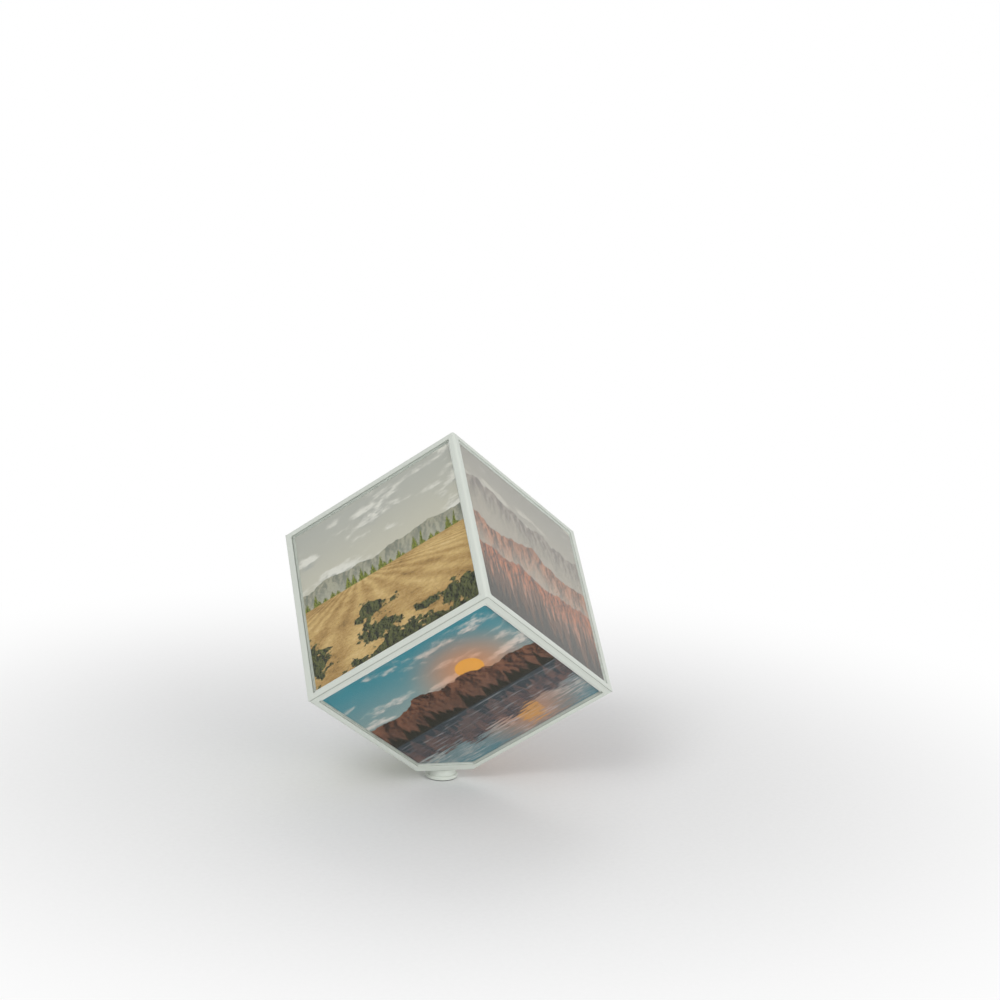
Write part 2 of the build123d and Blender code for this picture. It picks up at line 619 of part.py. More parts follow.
def contact_plate(side):
    """Flat contact at one end of the holder, with a solder tail through its bottom."""
    middle = FRONT.origin + FRONT.x_dir * (side * (BAY_LENGTH - CONTACT_THICKNESS) / 2)
    with BuildSketch(Plane(middle, x_dir=FRONT.y_dir, z_dir=FRONT.x_dir)) as plate:
        with Locations((0, -CELL_DEPTH)):
            Rectangle(CONTACT_WIDTH, CONTACT_WIDTH)
        with Locations((0, -TAIL_BOTTOM)):
            Rectangle(CONTACT_TAIL_WIDTH, TAIL_BOTTOM - CONTACT_BOTTOM, align=(Align.CENTER, Align.MIN))
    extrude(plate.sketch, amount=CONTACT_THICKNESS / 2, both=True)


# Plain contact at the positive end
with BuildPart() as positive_contact:
    contact_plate(1)
finish(positive_contact, "positive_contact")

# Sprung contact at the negative end: a bowed leaf on the same plate
LEAF_START = -BAY_LENGTH / 2 + CONTACT_THICKNESS
with BuildPart() as negative_contact:
    contact_plate(-1)
    with BuildSketch(Plane(CELL_LINE.origin, x_dir=FRONT.x_dir, z_dir=-FRONT.y_dir)):
        with BuildLine():
            ThreePointArc(
                (LEAF_START, -CONTACT_WIDTH / 2),
                (LEAF_START + LEAF_REACH, 0),
                (LEAF_START, CONTACT_WIDTH / 2),
            )
            Line((LEAF_START, CONTACT_WIDTH / 2), (LEAF_START, CONTACT_WIDTH / 2 - CONTACT_THICKNESS))
            ThreePointArc(
                (LEAF_START, CONTACT_WIDTH / 2 - CONTACT_THICKNESS),
                (LEAF_START + LEAF_REACH - CONTACT_THICKNESS, 0),
                (LEAF_START, CONTACT_THICKNESS - CONTACT_WIDTH / 2),
            )
            Line((LEAF_START, CONTACT_THICKNESS - CONTACT_WIDTH / 2), (LEAF_START, -CONTACT_WIDTH / 2))
        make_face()
    extrude(amount=LEAF_WIDTH / 2, both=True)
finish(negative_contact, "negative_contact")

# Round cell with its raised positive end
CELL_START = LEAF_START + LEAF_REACH
with BuildPart() as battery_cell:
    with BuildSketch(CELL_SECTION.offset(CELL_START)):
        Circle(CELL_RADIUS)
    extrude(amount=CELL_LENGTH)
    fillet(battery_cell.edges().filter_by(GeomType.CIRCLE), radius=CELL_ROUND)
    with BuildSketch(CELL_SECTION.offset(CELL_START + CELL_LENGTH)):
        Circle(CELL_NUB_RADIUS)
    extrude(amount=CELL_NUB)
finish(battery_cell, "battery_cell")

# Slide switch: open body on the inside of the floor, two pins, and the knob in its slot
CAVITY_LENGTH = SWITCH_LENGTH - 2 * SWITCH_WALL
CAVITY_WIDTH = SWITCH_WIDTH - 2 * SWITCH_WALL
SWITCH_BOTTOM = WALL + SWITCH_HEIGHT
with BuildPart() as switch_body:
    with BuildSketch(FRONT.offset(-WALL)):
        with Locations((0, SWITCH_Y)):
            Rectangle(SWITCH_LENGTH, SWITCH_WIDTH)
    extrude(amount=-SWITCH_HEIGHT)
    with BuildSketch(FRONT.offset(-WALL)):
        with Locations((0, SWITCH_Y)):
            Rectangle(CAVITY_LENGTH, CAVITY_WIDTH)
    extrude(amount=-KNOB_BASE - 2 * KNOB_CLEARANCE, mode=Mode.SUBTRACT)
finish(switch_body, "switch_body")

with BuildPart() as switch_terminals:
    with BuildSketch(FRONT.offset(-SWITCH_BOTTOM)):
        for side in (-1, 1):
            with Locations((side * PIN_SPACING / 2, SWITCH_Y)):
                Rectangle(PIN_SIDE, PIN_SIDE)
    extrude(amount=-PIN_LENGTH)
finish(switch_terminals, "switch_terminals")

KNOB_X = -SWITCH_TRAVEL / 2
BASE_LENGTH = CAVITY_LENGTH - SWITCH_TRAVEL - 2 * KNOB_CLEARANCE
BASE_WIDTH = CAVITY_WIDTH - 2 * KNOB_CLEARANCE
with BuildPart() as switch_knob:
    with BuildSketch(FRONT.offset(-WALL - KNOB_CLEARANCE)):
        with Locations((KNOB_X, SWITCH_Y)):
            Rectangle(BASE_LENGTH, BASE_WIDTH)
    extrude(amount=-KNOB_BASE)
    with BuildSketch(FRONT.offset(-WALL - KNOB_CLEARANCE)):
        with Locations((KNOB_X, SWITCH_Y)):
            Rectangle(KNOB_LENGTH, KNOB_WIDTH)
    extrude(amount=FLOOR_WALL + KNOB_CLEARANCE - KNOB_SINK)
finish(switch_knob, "switch_knob")

# Pan-head screws that hold the gearbox in the shell and the lid on the case
for name, points, seat in (
    ("gearbox_screws", EAR_POINTS, BOX_SEAT + BOX_FLOOR),
    ("lid_screws", PILLAR_POINTS, LID_TOP),
):
    with BuildPart() as pan_screws:
        for point in points:
            round_bar(Vector(*point), SCREW_RADIUS, seat - SCREW_LENGTH, seat)
            round_bar(Vector(*point), SCREW_HEAD_RADIUS, seat, seat + SCREW_HEAD)
    finish(pan_screws, name)

# Countersunk screws that hold the upper shell on the lower one
with BuildPart() as shell_screws:
    for k in range(3):
        with Locations(upper_plane(k).offset(-RECESS_DEPTH)):
            with Locations((EDGE_LENGTH / 2 - BOSS_DEPTH, 0)):
                Cylinder(SCREW_RADIUS, SCREW_LENGTH, align=(Align.CENTER, Align.CENTER, Align.MAX))
                Cone(
                    SCREW_RADIUS,
                    SINK_RADIUS,
                    (SINK_RADIUS - SCREW_RADIUS) / math.tan(math.radians(SINK_ANGLE / 2)),
                    align=(Align.CENTER, Align.CENTER, Align.MAX),
                )
finish(shell_screws, "shell_screws")


def lead_radii(points):
    """Largest bend at each corner of a route that its two runs leave room for."""
    radii = []
    for before, here, after in zip(points, points[1:], points[2:]):
        half_turn = math.radians((here - before).get_angle(after - here)) / 2
        radii.append(0.45 * min((here - before).length, (after - here).length) / math.tan(half_turn))
    return radii


INWARDS = -FRONT.z_dir * LEAD_STUB
UPWARDS = Vector(0, 0, LEAD_STUB)
POSITIVE_TAIL = FRONT.from_local_coords(Vector((BAY_LENGTH - CONTACT_THICKNESS) / 2, 0, -TAIL_BOTTOM))
NEGATIVE_TAIL = FRONT.from_local_coords(Vector((CONTACT_THICKNESS - BAY_LENGTH) / 2, 0, -TAIL_BOTTOM))
FIRST_PIN = FRONT.from_local_coords(Vector(PIN_SPACING / 2, SWITCH_Y, -SWITCH_BOTTOM - PIN_LENGTH))
SECOND_PIN = FRONT.from_local_coords(Vector(-PIN_SPACING / 2, SWITCH_Y, -SWITCH_BOTTOM - PIN_LENGTH))
FRONT_TERMINAL = MOTOR_AXIS + Vector(0, -TERMINAL_SPACING, CAP_TOP + TERMINAL_HEIGHT)
BACK_TERMINAL = MOTOR_AXIS + Vector(0, TERMINAL_SPACING, CAP_TOP + TERMINAL_HEIGHT)

# Leads from the cell through the switch to the motor
for name, route in (
    ("lead_cell_to_switch", [
        POSITIVE_TAIL,
        POSITIVE_TAIL + INWARDS,
        Vector(18, -23, 83),
        Vector(15, -18, 68),
        FIRST_PIN + INWARDS,
        FIRST_PIN,
    ]),
    ("lead_switch_to_motor", [
        SECOND_PIN,
        SECOND_PIN + INWARDS,
        Vector(7, -9, 72),
        Vector(3, 6, 85),
        FRONT_TERMINAL + UPWARDS,
        FRONT_TERMINAL,
    ]),
    ("lead_motor_to_cell", [
        NEGATIVE_TAIL,
        NEGATIVE_TAIL + INWARDS,
        Vector(-18, 1, 68),
        Vector(-11, 17, 85),
        BACK_TERMINAL + UPWARDS,
        BACK_TERMINAL,
    ]),
):
    print(name, [round(radius, 1) for radius in lead_radii(route)])
    with BuildPart() as lead:
        with BuildLine() as path:
            FilletPolyline(*route, radius=lead_radii(route))
        with BuildSketch(Plane(route[0], z_dir=route[1] - route[0])):
            Circle(LEAD_RADIUS)
        sweep(path=path.wires()[0])
    finish(lead, name)
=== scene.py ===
"""Finish, light and camera for the turning photo cube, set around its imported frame."""
import json
import math

import bpy
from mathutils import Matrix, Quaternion, Vector


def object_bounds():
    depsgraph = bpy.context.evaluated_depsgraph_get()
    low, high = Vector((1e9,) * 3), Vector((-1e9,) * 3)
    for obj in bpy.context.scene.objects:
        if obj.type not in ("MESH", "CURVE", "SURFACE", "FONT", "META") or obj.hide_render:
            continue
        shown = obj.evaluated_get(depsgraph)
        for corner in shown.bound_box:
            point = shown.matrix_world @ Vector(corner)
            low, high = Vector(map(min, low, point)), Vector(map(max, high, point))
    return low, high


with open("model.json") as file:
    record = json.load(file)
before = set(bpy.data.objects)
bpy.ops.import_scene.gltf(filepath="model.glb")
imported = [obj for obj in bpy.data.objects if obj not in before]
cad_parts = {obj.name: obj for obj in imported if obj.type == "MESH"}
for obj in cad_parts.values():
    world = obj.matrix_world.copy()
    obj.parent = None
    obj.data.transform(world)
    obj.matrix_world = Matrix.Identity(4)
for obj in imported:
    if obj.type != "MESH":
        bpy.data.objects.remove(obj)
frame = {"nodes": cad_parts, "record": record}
cad_low, cad_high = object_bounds()

# Camera, in metres: where it stands, what it points at, its roll and its lens in millimetres
CAMERA_PLACE = Vector((-0.2501, -1.1423, 0.4030))
CAMERA_AIM = Vector((0.0274, 0.0062, 0.1459))
CAMERA_ROLL = math.radians(2.24)
CAMERA_LENS = 84.72
CAMERA_SENSOR = 36.0

# Light: a soft sky all round and three large panels, as place, aim height, side and watts
SKY_COLOUR = (1.0, 1.0, 1.0)
SKY_STRENGTH = 0.5
PANELS = {
    "key_panel": (Vector((-1.1, -1.2, 1.5)), 0.10, 1.1, 17.0),
    "front_panel": (Vector((0.8, -1.6, 0.3)), 0.06, 1.2, 19.0),
    "back_panel": (Vector((0.4, 1.4, 1.3)), 0.10, 1.0, 6.0),
}

# Floor, in metres: its half side, and where it fades into the white surround
FLOOR_REACH = 8.0
FLOOR_COLOUR = (0.86, 0.86, 0.86)
FLOOR_FADE = (0.10, 0.42)
WHITE = (1.0, 1.0, 1.0)

# Faces that meet at less than this angle are shaded as one smooth face
SMOOTH_BELOW = math.radians(32)

# Refractive indices: moulded plastic, and the covers, low as under an anti-glare coat
PLASTIC_INDEX = 1.49
COVER_INDEX = 1.2

# Least cosine between a cover's broad faces and a face that counts as one of them
BROAD_FACE = 0.99

# Noise runs from 0 to 1 about its mean, and two colours blend over its middle part
NOISE_MEAN = 0.5
NOISE_MIDDLE = (0.3, 0.7)

# Where a layer of a picture begins and is full, below its outline or in its clumps
HILL_EDGE = (-0.002, 0.003)
TREE_EDGE = (-0.003, 0.004)
BUSH_EDGE = (0.46, 0.48)
WATER_EDGE = (0.0, 0.006)

# Clouds: where they begin and are full in a clear sky, how their undersides are found
CLOUD_EDGE = (0.62, 0.76)
CLOUD_STEP = 0.03
CLOUD_CONTRAST = 0.06

# Ground: the step and roughness that find lit slopes, how far the eye line is over the horizon,
# and the least drop below that line, where the ground is farthest away
RELIEF_STEP = 0.15
RELIEF_ROUGHNESS = 0.6
EYE_LINE = 0.05
LEAST_DROP = 0.02

# Relief of hills, dunes, trees and bushes, as multiples of their own scale
RIDGE_RELIEF = 4.0
DUNE_RELIEF = 1.7
TREE_RELIEF = 3.0
BUSH_RELIEF = 5.0

# Straw of the field picture, from its shadows to its bleached tips
STRAW = (
    (0.05, (0.07, 0.05, 0.02)),
    (0.35, (0.40, 0.24, 0.08)),
    (0.65, (0.62, 0.42, 0.17)),
    (1.0, (0.80, 0.64, 0.36)),
)

# Red, white and yellow petals of the meadow picture
PETALS = (
    (0.0, (0.56, 0.03, 0.02)),
    (0.5, (0.76, 0.74, 0.68)),
    (0.85, (0.74, 0.46, 0.03)),
)


def edge_direction(k):
    """Unit vector of one of the three cube edges that leave the standing corner."""
    angle = math.radians(120 * k - 30)
    flat = math.sqrt(2 / 3)
    return Vector((flat * math.cos(angle), flat * math.sin(angle), math.sqrt(1 / 3)))


RIGHT, BACK, LEFT = (edge_direction(k) for k in range(3))


class Painter:
    """Adds shader nodes to one material, one call for each node."""

    def __init__(self, name):
        self.material = bpy.data.materials.new(name)
        self.material.use_nodes = True
        self.tree = self.material.node_tree
        self.shader = self.tree.nodes["Principled BSDF"]
        self.output = self.tree.nodes["Material Output"]

    def feed(self, socket, value):
        """Links a socket to another, or sets its own value."""
        if isinstance(value, bpy.types.NodeSocket):
            self.tree.links.new(value, socket)
        elif isinstance(value, tuple) and len(value) == 3 and socket.type == "RGBA":
            socket.default_value = (*value, 1.0)
        else:
            socket.default_value = value

    def add(self, kind, inputs, **settings):
        node = self.tree.nodes.new(kind)
        for name, value in settings.items():
            setattr(node, name, value)
        for name, value in inputs.items():
            self.feed(node.inputs[name], value)
        return node

    def surface(self, **inputs):
        """Sets the surface shader's own inputs; an underscore stands for a space."""
        for name, value in inputs.items():
            self.feed(self.shader.inputs[name.replace("_", " ")], value)

    def math(self, operation, first, second=0.0, third=0.0):
        inputs = {0: first, 1: second, 2: third}
        return self.add("ShaderNodeMath", inputs, operation=operation).outputs[0]

    def rise(self, value, low, high):
        """0 at low and below, 1 at high and above, smooth between."""
        inputs = {"Value": value, "From Min": low, "From Max": high}
        node = self.add("ShaderNodeMapRange", inputs, interpolation_type="SMOOTHSTEP")
        return node.outputs["Result"]

    def span(self, value, low, high):
        """A share from 0 to 1 spread over low to high."""
        inputs = {"Value": value, "To Min": low, "To Max": high}
        return self.add("ShaderNodeMapRange", inputs).outputs["Result"]

    def mix(self, share, first, second, blend="MIX"):
        inputs = {0: share, 6: first, 7: second}
        node = self.add("ShaderNodeMix", inputs, data_type="RGBA", blend_type=blend)
        return node.outputs[2]

    def ramp(self, value, *stops):
        node = self.add("ShaderNodeValToRGB", {"Fac": value})
        elements = node.color_ramp.elements
        elements.remove(elements[1])
        elements[0].position = stops[0][0]
        elements[0].color = (*stops[0][1], 1.0)
        for place, colour in stops[1:]:
            elements.new(place).color = (*colour, 1.0)
        return node.outputs["Color"]

    def between(self, noise, first, second):
        """Two colours that turn into each other over the middle of a noise."""
        return self.ramp(noise, (NOISE_MIDDLE[0], first), (NOISE_MIDDLE[1], second))

    def noise(self, place, scale, detail=4.0, roughness=0.55):
        inputs = {"Vector": place, "Scale": scale, "Detail": detail, "Roughness": roughness}
        return self.add("ShaderNodeTexNoise", inputs).outputs["Fac"]

    def bump(self, height, strength, distance):
        inputs = {"Height": height, "Strength": strength, "Distance": distance}
        self.surface(Normal=self.add("ShaderNodeBump", inputs).outputs["Normal"])

    def place(self):
        """Point on the piece in the row frame, carried along when the piece moves."""
        return self.add("ShaderNodeTexCoord", {}).outputs["Object"]

    def reach(self, direction):
        """How far a point on the piece lies along a direction, in metres."""
        inputs = {0: self.place(), 1: tuple(direction)}
        return self.add("ShaderNodeVectorMath", inputs, operation="DOT_PRODUCT").outputs["Value"]


# Materials of the moulded, metal, rubber and clear pieces; noise scales are per metre

def moulded(name, colour, roughness, mottle=0.03, grain=0.35):
    """Moulded plastic: faint flow marks in the colour and a fine spark-eroded grain."""
    paint = Painter(name)
    place = paint.place()
    flow = paint.noise(place, scale=32.0, detail=3.0)
    pale = tuple(min(1.0, c * (1 + mottle)) for c in colour)
    deep = tuple(c * (1 - mottle) for c in colour)
    pits = paint.noise(place, scale=2600.0, detail=2.0)
    haze = paint.noise(place, scale=140.0)
    paint.surface(
        Base_Color=paint.between(flow, deep, pale),
        Roughness=paint.span(haze, roughness - 0.05, roughness + 0.07),
        IOR=PLASTIC_INDEX,
    )
    paint.bump(pits, strength=grain, distance=0.00004)
    return paint.material


def metal(name, colour, roughness, scratch=(900.0, 900.0, 40.0)):
    """Bare metal with fine lines left by drawing or turning."""
    paint = Painter(name)
    lines = paint.add("ShaderNodeMapping", {"Vector": paint.place(), "Scale": scratch})
    streaks = paint.noise(lines.outputs[0], scale=1.0, detail=3.0)
    dull = tuple(c * 0.82 for c in colour)
    paint.surface(
        Base_Color=paint.between(streaks, dull, colour),
        Metallic=1.0,
        Roughness=paint.span(streaks, roughness - 0.08, roughness + 0.12),
    )
    paint.bump(streaks, strength=0.15, distance=0.00003)
    return paint.material


def rubber(name, colour):
    """Matt rubber with a dusty bloom."""
    paint = Painter(name)
    place = paint.place()
    bloom = paint.noise(place, scale=220.0, detail=5.0)
    dusty = tuple(c + 0.04 for c in colour)
    paint.surface(
        Base_Color=paint.ramp(bloom, (0.35, colour), (0.75, dusty)),
        Roughness=paint.span(bloom, 0.75, 0.95),
    )
    paint.bump(paint.noise(place, scale=3200.0, detail=2.0), strength=0.5, distance=0.00005)
    return paint.material


def cell_jacket(name):
    """Drawn metal jacket of the cell with faint bands across it."""
    paint = Painter(name)
    along = paint.add("ShaderNodeCombineXYZ", {"X": paint.reach(RIGHT)}).outputs[0]
    bands = paint.noise(along, scale=700.0)
    paint.surface(
        Base_Color=paint.between(bands, (0.48, 0.49, 0.51), (0.58, 0.59, 0.61)),
        Metallic=1.0,
        Roughness=paint.span(bands, 0.28, 0.44),
    )
    paint.bump(bands, strength=0.1, distance=0.00003)
    return paint.material


def clear_cover(name):
    """Clear moulded plastic that lets the lamps through to the picture."""
    paint = Painter(name)
    wear = paint.noise(paint.place(), scale=60.0, detail=5.0)
    paint.surface(
        Base_Color=(0.985, 0.99, 0.985),
        Roughness=paint.span(wear, 0.0, 0.03),
        IOR=COVER_INDEX,
        Transmission_Weight=1.0,
    )
    path = paint.add("ShaderNodeLightPath", {})
    passing = paint.math("MAXIMUM", path.outputs["Is Shadow Ray"], path.outputs["Is Diffuse Ray"])
    through = paint.add("ShaderNodeBsdfTransparent", {"Color": (0.96, 0.97, 0.96)})
    inputs = {0: passing, 1: paint.shader.outputs[0], 2: through.outputs[0]}
    mixed = paint.add("ShaderNodeMixShader", inputs)
    paint.feed(paint.output.inputs["Surface"], mixed.outputs[0])
    return paint.material


def ground_edge(name):
    """Pale matt edge, as a saw and a file leave it on clear plastic."""
    paint = Painter(name)
    marks = paint.noise(paint.place(), scale=2400.0, detail=3.0)
    paint.surface(
        Base_Color=paint.between(marks, (0.72, 0.75, 0.71), (0.80, 0.82, 0.78)),
        Roughness=paint.span(marks, 0.45, 0.65),
        IOR=COVER_INDEX,
    )
    return paint.material


class Picture(Painter):
    """Printed sheet with a generic view, laid on in layers from the back to the front.

    x runs to the right and y upwards over the sheet, both from 0 to 1. A layer's seed
    keeps its texture apart from those of the other layers.
    """

    def __init__(self, node, right, up):
        super().__init__(f"print_{node.name}")
        self.x = self.share_along(node, right)
        self.y = self.share_along(node, up)
        self.sheet_y = self.y
        self.under_water = None
        self.view = None

    def share_along(self, node, direction):
        """How far a point lies along the sheet's extent in one direction."""
        reaches = [vertex.co.dot(direction) for vertex in node.data.vertices]
        low, size = min(reaches), max(reaches) - min(reaches)
        return self.math("MULTIPLY_ADD", self.reach(direction), 1 / size, -low / size)

    def spot(self, seed, stretch=1.0, x=None, y=None):
        """Texture point on the sheet, or at a given x and y, drawn out sideways by the stretch."""
        across = self.x if x is None else x
        upwards = self.math("MULTIPLY", self.y if y is None else y, stretch)
        inputs = {"X": across, "Y": upwards, "Z": float(seed)}
        return self.add("ShaderNodeCombineXYZ", inputs).outputs[0]

    def swing(self, noise):
        """A noise moved to swing about zero."""
        return self.math("SUBTRACT", noise, NOISE_MEAN)

    def lot(self, cells):
        """The number from 0 to 1 that each of a pattern's cells has drawn."""
        inputs = {"Color": cells.outputs["Color"]}
        return self.add("ShaderNodeSeparateColor", inputs).outputs[0]

    def lay(self, depth, edge, colour):
        """Lays a colour over the view where a depth is past an edge."""
        self.view = self.mix(self.rise(depth, *edge), self.view, colour)

    def lay_below(self, level, under, over, colour):
        """Lays a colour over the view below a level, from a little under it to a little over it."""
        self.view = self.mix(self.rise(self.y, level - under, level + over), colour, self.view)

    def relief(self, seed, scale, stretch=1.0, detail=8.0, x=None, softness=0.09):
        """How far rough ground faces a light from the left, from 0 to 1."""
        across = self.x if x is None else x
        aside = self.math("ADD", across, RELIEF_STEP / scale)
        here, beside = (
            self.noise(self.spot(seed, stretch, place), scale, detail, RELIEF_ROUGHNESS)
            for place in (across, aside)
        )
        return self.rise(self.math("SUBTRACT", here, beside), -softness, softness)

    def under_crest(self, seed, base, height, scale, detail):
        """How far a point lies under a wandering crest line."""
        line = self.noise(self.spot(seed, y=0.0), scale, detail)
        top = self.math("MULTIPLY_ADD", self.swing(line), height, base)
        return self.math("SUBTRACT", top, self.y)

    def ground(self, level, vanish):
        """Ground coordinates below a horizon: side to side, and away from the viewer."""
        drop = self.math("SUBTRACT", level + EYE_LINE, self.y)
        drop = self.math("MAXIMUM", drop, LEAST_DROP)
        aside = self.math("DIVIDE", self.math("SUBTRACT", self.x, vanish), drop)
        return aside, self.math("DIVIDE", 1.0, drop)

    def clouds(self, seed, y):
        """How dense the clouds are at a height."""
        return self.noise(self.spot(seed, stretch=2.4, y=y), scale=3.4, detail=9.0, roughness=0.58)

    def sky(self, seed, level, amount, low, high, cloud, shade):
        """Sky that deepens above its lowest level, with drawn-out clouds shaded underneath."""
        colour = self.ramp(self.rise(self.y, level, 1.0), (0.0, low), (1.0, high))
        here = self.clouds(seed, self.y)
        above = self.clouds(seed, self.math("ADD", self.y, CLOUD_STEP))
        lit = self.rise(self.math("SUBTRACT", here, above), -CLOUD_CONTRAST, CLOUD_CONTRAST)
        begin, full = CLOUD_EDGE
        cover = self.rise(here, begin - amount, full - amount)
        self.view = self.mix(cover, colour, self.mix(lit, shade, cloud))

    def sun(self, x, y, inner, outer, colour, strength):
        """Round light that fades outwards."""
        across = self.math("SUBTRACT", self.x, x)
        upwards = self.math("POWER", self.math("SUBTRACT", self.y, y), 2.0)
        away = self.math("SQRT", self.math("MULTIPLY_ADD", across, across, upwards))
        inside = self.math("SUBTRACT", 1.0, self.rise(away, inner, outer))
        self.view = self.mix(self.math("MULTIPLY", inside, strength), self.view, colour)

    def ridge(self, seed, base, height, scale, shade, lit, haze, thickness):
        """Hill line with lit and shaded slopes that sink into haze towards its foot."""
        depth = self.under_crest(seed, base, height, scale, detail=8.0)
        slope = self.mix(self.relief(seed + 1, RIDGE_RELIEF * scale, stretch=0.7), shade, lit)
        most_haze = 0.8
        sunk = self.math("MULTIPLY", self.rise(depth, 0.0, thickness), most_haze)
        self.lay(depth, HILL_EDGE, self.mix(sunk, slope, haze))

    def dune(self, seed, base, height, scale, shade, lit, ripples):
        """Smooth sand ridge with broad lit and shaded flanks and a number of wind ripples."""
        lean, wandering, ripple_tone = 0.9, 0.35, 0.07
        depth = self.under_crest(seed, base, height, scale, detail=1.0)
        leaning = self.math("MULTIPLY_ADD", depth, lean, self.x)
        flank = self.relief(
            seed + 1, DUNE_RELIEF * scale, stretch=0.7, detail=1.0, x=leaning, softness=0.04,
        )
        wander = self.noise(self.spot(seed + 2, stretch=2.0), scale=3.0, detail=3.0)
        shifted = self.math("MULTIPLY_ADD", wander, wandering, depth)
        waves = self.math("SINE", self.math("MULTIPLY", shifted, 2 * math.pi * ripples))
        seen = self.math("MULTIPLY", waves, self.rise(depth, 0.0, 0.12))
        tone = self.math("MULTIPLY_ADD", seen, ripple_tone, self.span(flank, 0.07, 0.91))
        self.lay(depth, HILL_EDGE, self.mix(tone, shade, lit))

    def trees(self, seed, base, height, count, dark, pale):
        """Row of pointed trees, each of its own height, with ragged branches."""
        raggedness, taper = 1.2, -1.6
        inputs = {"W": self.math("ADD", self.x, float(seed)), "Scale": float(count)}
        row = self.add("ShaderNodeTexVoronoi", inputs, voronoi_dimensions="1D")
        spot = self.spot(seed, stretch=3.0)
        branches = self.noise(spot, scale=4.0 * count, detail=4.0, roughness=0.7)
        width = self.math("MULTIPLY_ADD", self.swing(branches), raggedness, row.outputs["Distance"])
        peak = self.math("MULTIPLY_ADD", self.math("MAXIMUM", width, 0.0), taper, 1.0)
        tall = self.math("MULTIPLY", peak, self.span(self.lot(row), 0.35, 1.3))
        depth = self.math("SUBTRACT", self.math("MULTIPLY_ADD", tall, height, base), self.y)
        self.lay(depth, TREE_EDGE, self.mix(self.relief(seed + 1, TREE_RELIEF * count), dark, pale))

    def bushes(self, seed, low, high, scale, dark, pale):
        """Clumps of low growth, dense at the lower height and gone at the upper one."""
        thinning = 0.34
        clumps = self.noise(self.spot(seed, stretch=1.4), scale, detail=7.0, roughness=0.62)
        thin = self.math("MULTIPLY", self.rise(self.y, low, high), thinning)
        dense = self.math("SUBTRACT", clumps, thin)
        self.lay(dense, BUSH_EDGE, self.mix(self.relief(seed + 1, BUSH_RELIEF * scale), dark, pale))

    def field(self, seed, level, vanish, stops):
        """Mown ground whose rows run together at the horizon."""
        row_turns, row_wander, row_tone = 9.0, 5.0, 0.1
        straw_tone, dark_offset = 0.9, 0.45
        aside, away = self.ground(level, vanish)
        wander = self.noise(self.spot(seed, 0.5, aside, away), scale=1.2, detail=5.0)
        rows = self.math("MULTIPLY", aside, row_turns)
        rows = self.math("SINE", self.math("MULTIPLY_ADD", wander, row_wander, rows))
        straw = self.noise(self.spot(seed + 1, stretch=2.0), scale=40.0, detail=8.0, roughness=0.75)
        patches = self.noise(self.spot(seed + 2, stretch=3.0), scale=3.0, detail=6.0, roughness=0.6)
        rough = self.math("MULTIPLY_ADD", straw, straw_tone, patches)
        tone = self.math("MULTIPLY_ADD", rows, row_tone, rough)
        colour = self.ramp(self.math("SUBTRACT", tone, dark_offset), *stops)
        self.lay_below(level, 0.004, 0.004, colour)

    def meadow(self, seed, level, dark, pale, petals):
        """Grass with flowers that shrink towards the horizon."""
        spacing, fraying = 0.9, 0.3
        aside, away = self.ground(level, vanish=0.5)
        grass = self.mix(self.relief(seed, scale=60.0, stretch=0.4), dark, pale)
        inputs = {"Vector": self.spot(seed, spacing, aside, away), "Scale": 4.2}
        heads = self.add("ShaderNodeTexVoronoi", inputs, voronoi_dimensions="2D")
        frayed = self.noise(self.spot(seed + 1, spacing, aside, away), scale=22.0, detail=2.0)
        radius = self.math("MULTIPLY_ADD", frayed, fraying, heads.outputs["Distance"])
        head = self.mix(self.rise(radius, 0.18, 0.26), dark, self.ramp(self.lot(heads), *petals))
        covered = self.mix(self.rise(radius, 0.36, 0.42), head, grass)
        self.lay_below(level, 0.01, 0.02, covered)

    def fold(self, seed, level):
        """Turns the sheet below a water line into a rippled mirror of what is above it."""
        strength = 1.4
        above = self.math("SUBTRACT", self.sheet_y, level)
        self.under_water = self.math("MAXIMUM", self.math("MULTIPLY", above, -1.0), 0.0)
        ripple = self.swing(self.noise(self.spot(seed, stretch=9.0), scale=9.0, detail=5.0))
        broken = self.math("MULTIPLY", ripple, self.math("MULTIPLY", self.under_water, strength))
        mirrored = self.math("ABSOLUTE", self.math("ADD", above, broken))
        self.y = self.math("ADD", mirrored, level)

    def water(self, seed, tint, shine):
        """Ends the mirror: darkens what is below the water line and lays bright ripples on it."""
        tint_share, shine_share = 0.35, 0.55
        self.y = self.sheet_y
        below = self.rise(self.under_water, *WATER_EDGE)
        deep = self.mix(self.math("MULTIPLY", below, tint_share), self.view, tint)
        waves = self.noise(self.spot(seed, stretch=12.0), scale=6.0, detail=7.0, roughness=0.66)
        crest = self.math("MULTIPLY", self.rise(waves, 0.54, 0.70), below)
        self.view = self.mix(self.math("MULTIPLY", crest, shine_share), deep, shine)

    def printed(self):
        """Finishes the sheet with the fine dots and the satin surface of a print."""
        dots = self.noise(self.place(), scale=2400.0, detail=2.0)
        speck = self.between(dots, (0.93, 0.93, 0.93), WHITE)
        self.surface(
            Base_Color=self.mix(1.0, self.view, speck, "MULTIPLY"),
            Roughness=self.span(dots, 0.45, 0.6),
            Specular_IOR_Level=0.15,
        )
        return self.material


# The six generic views

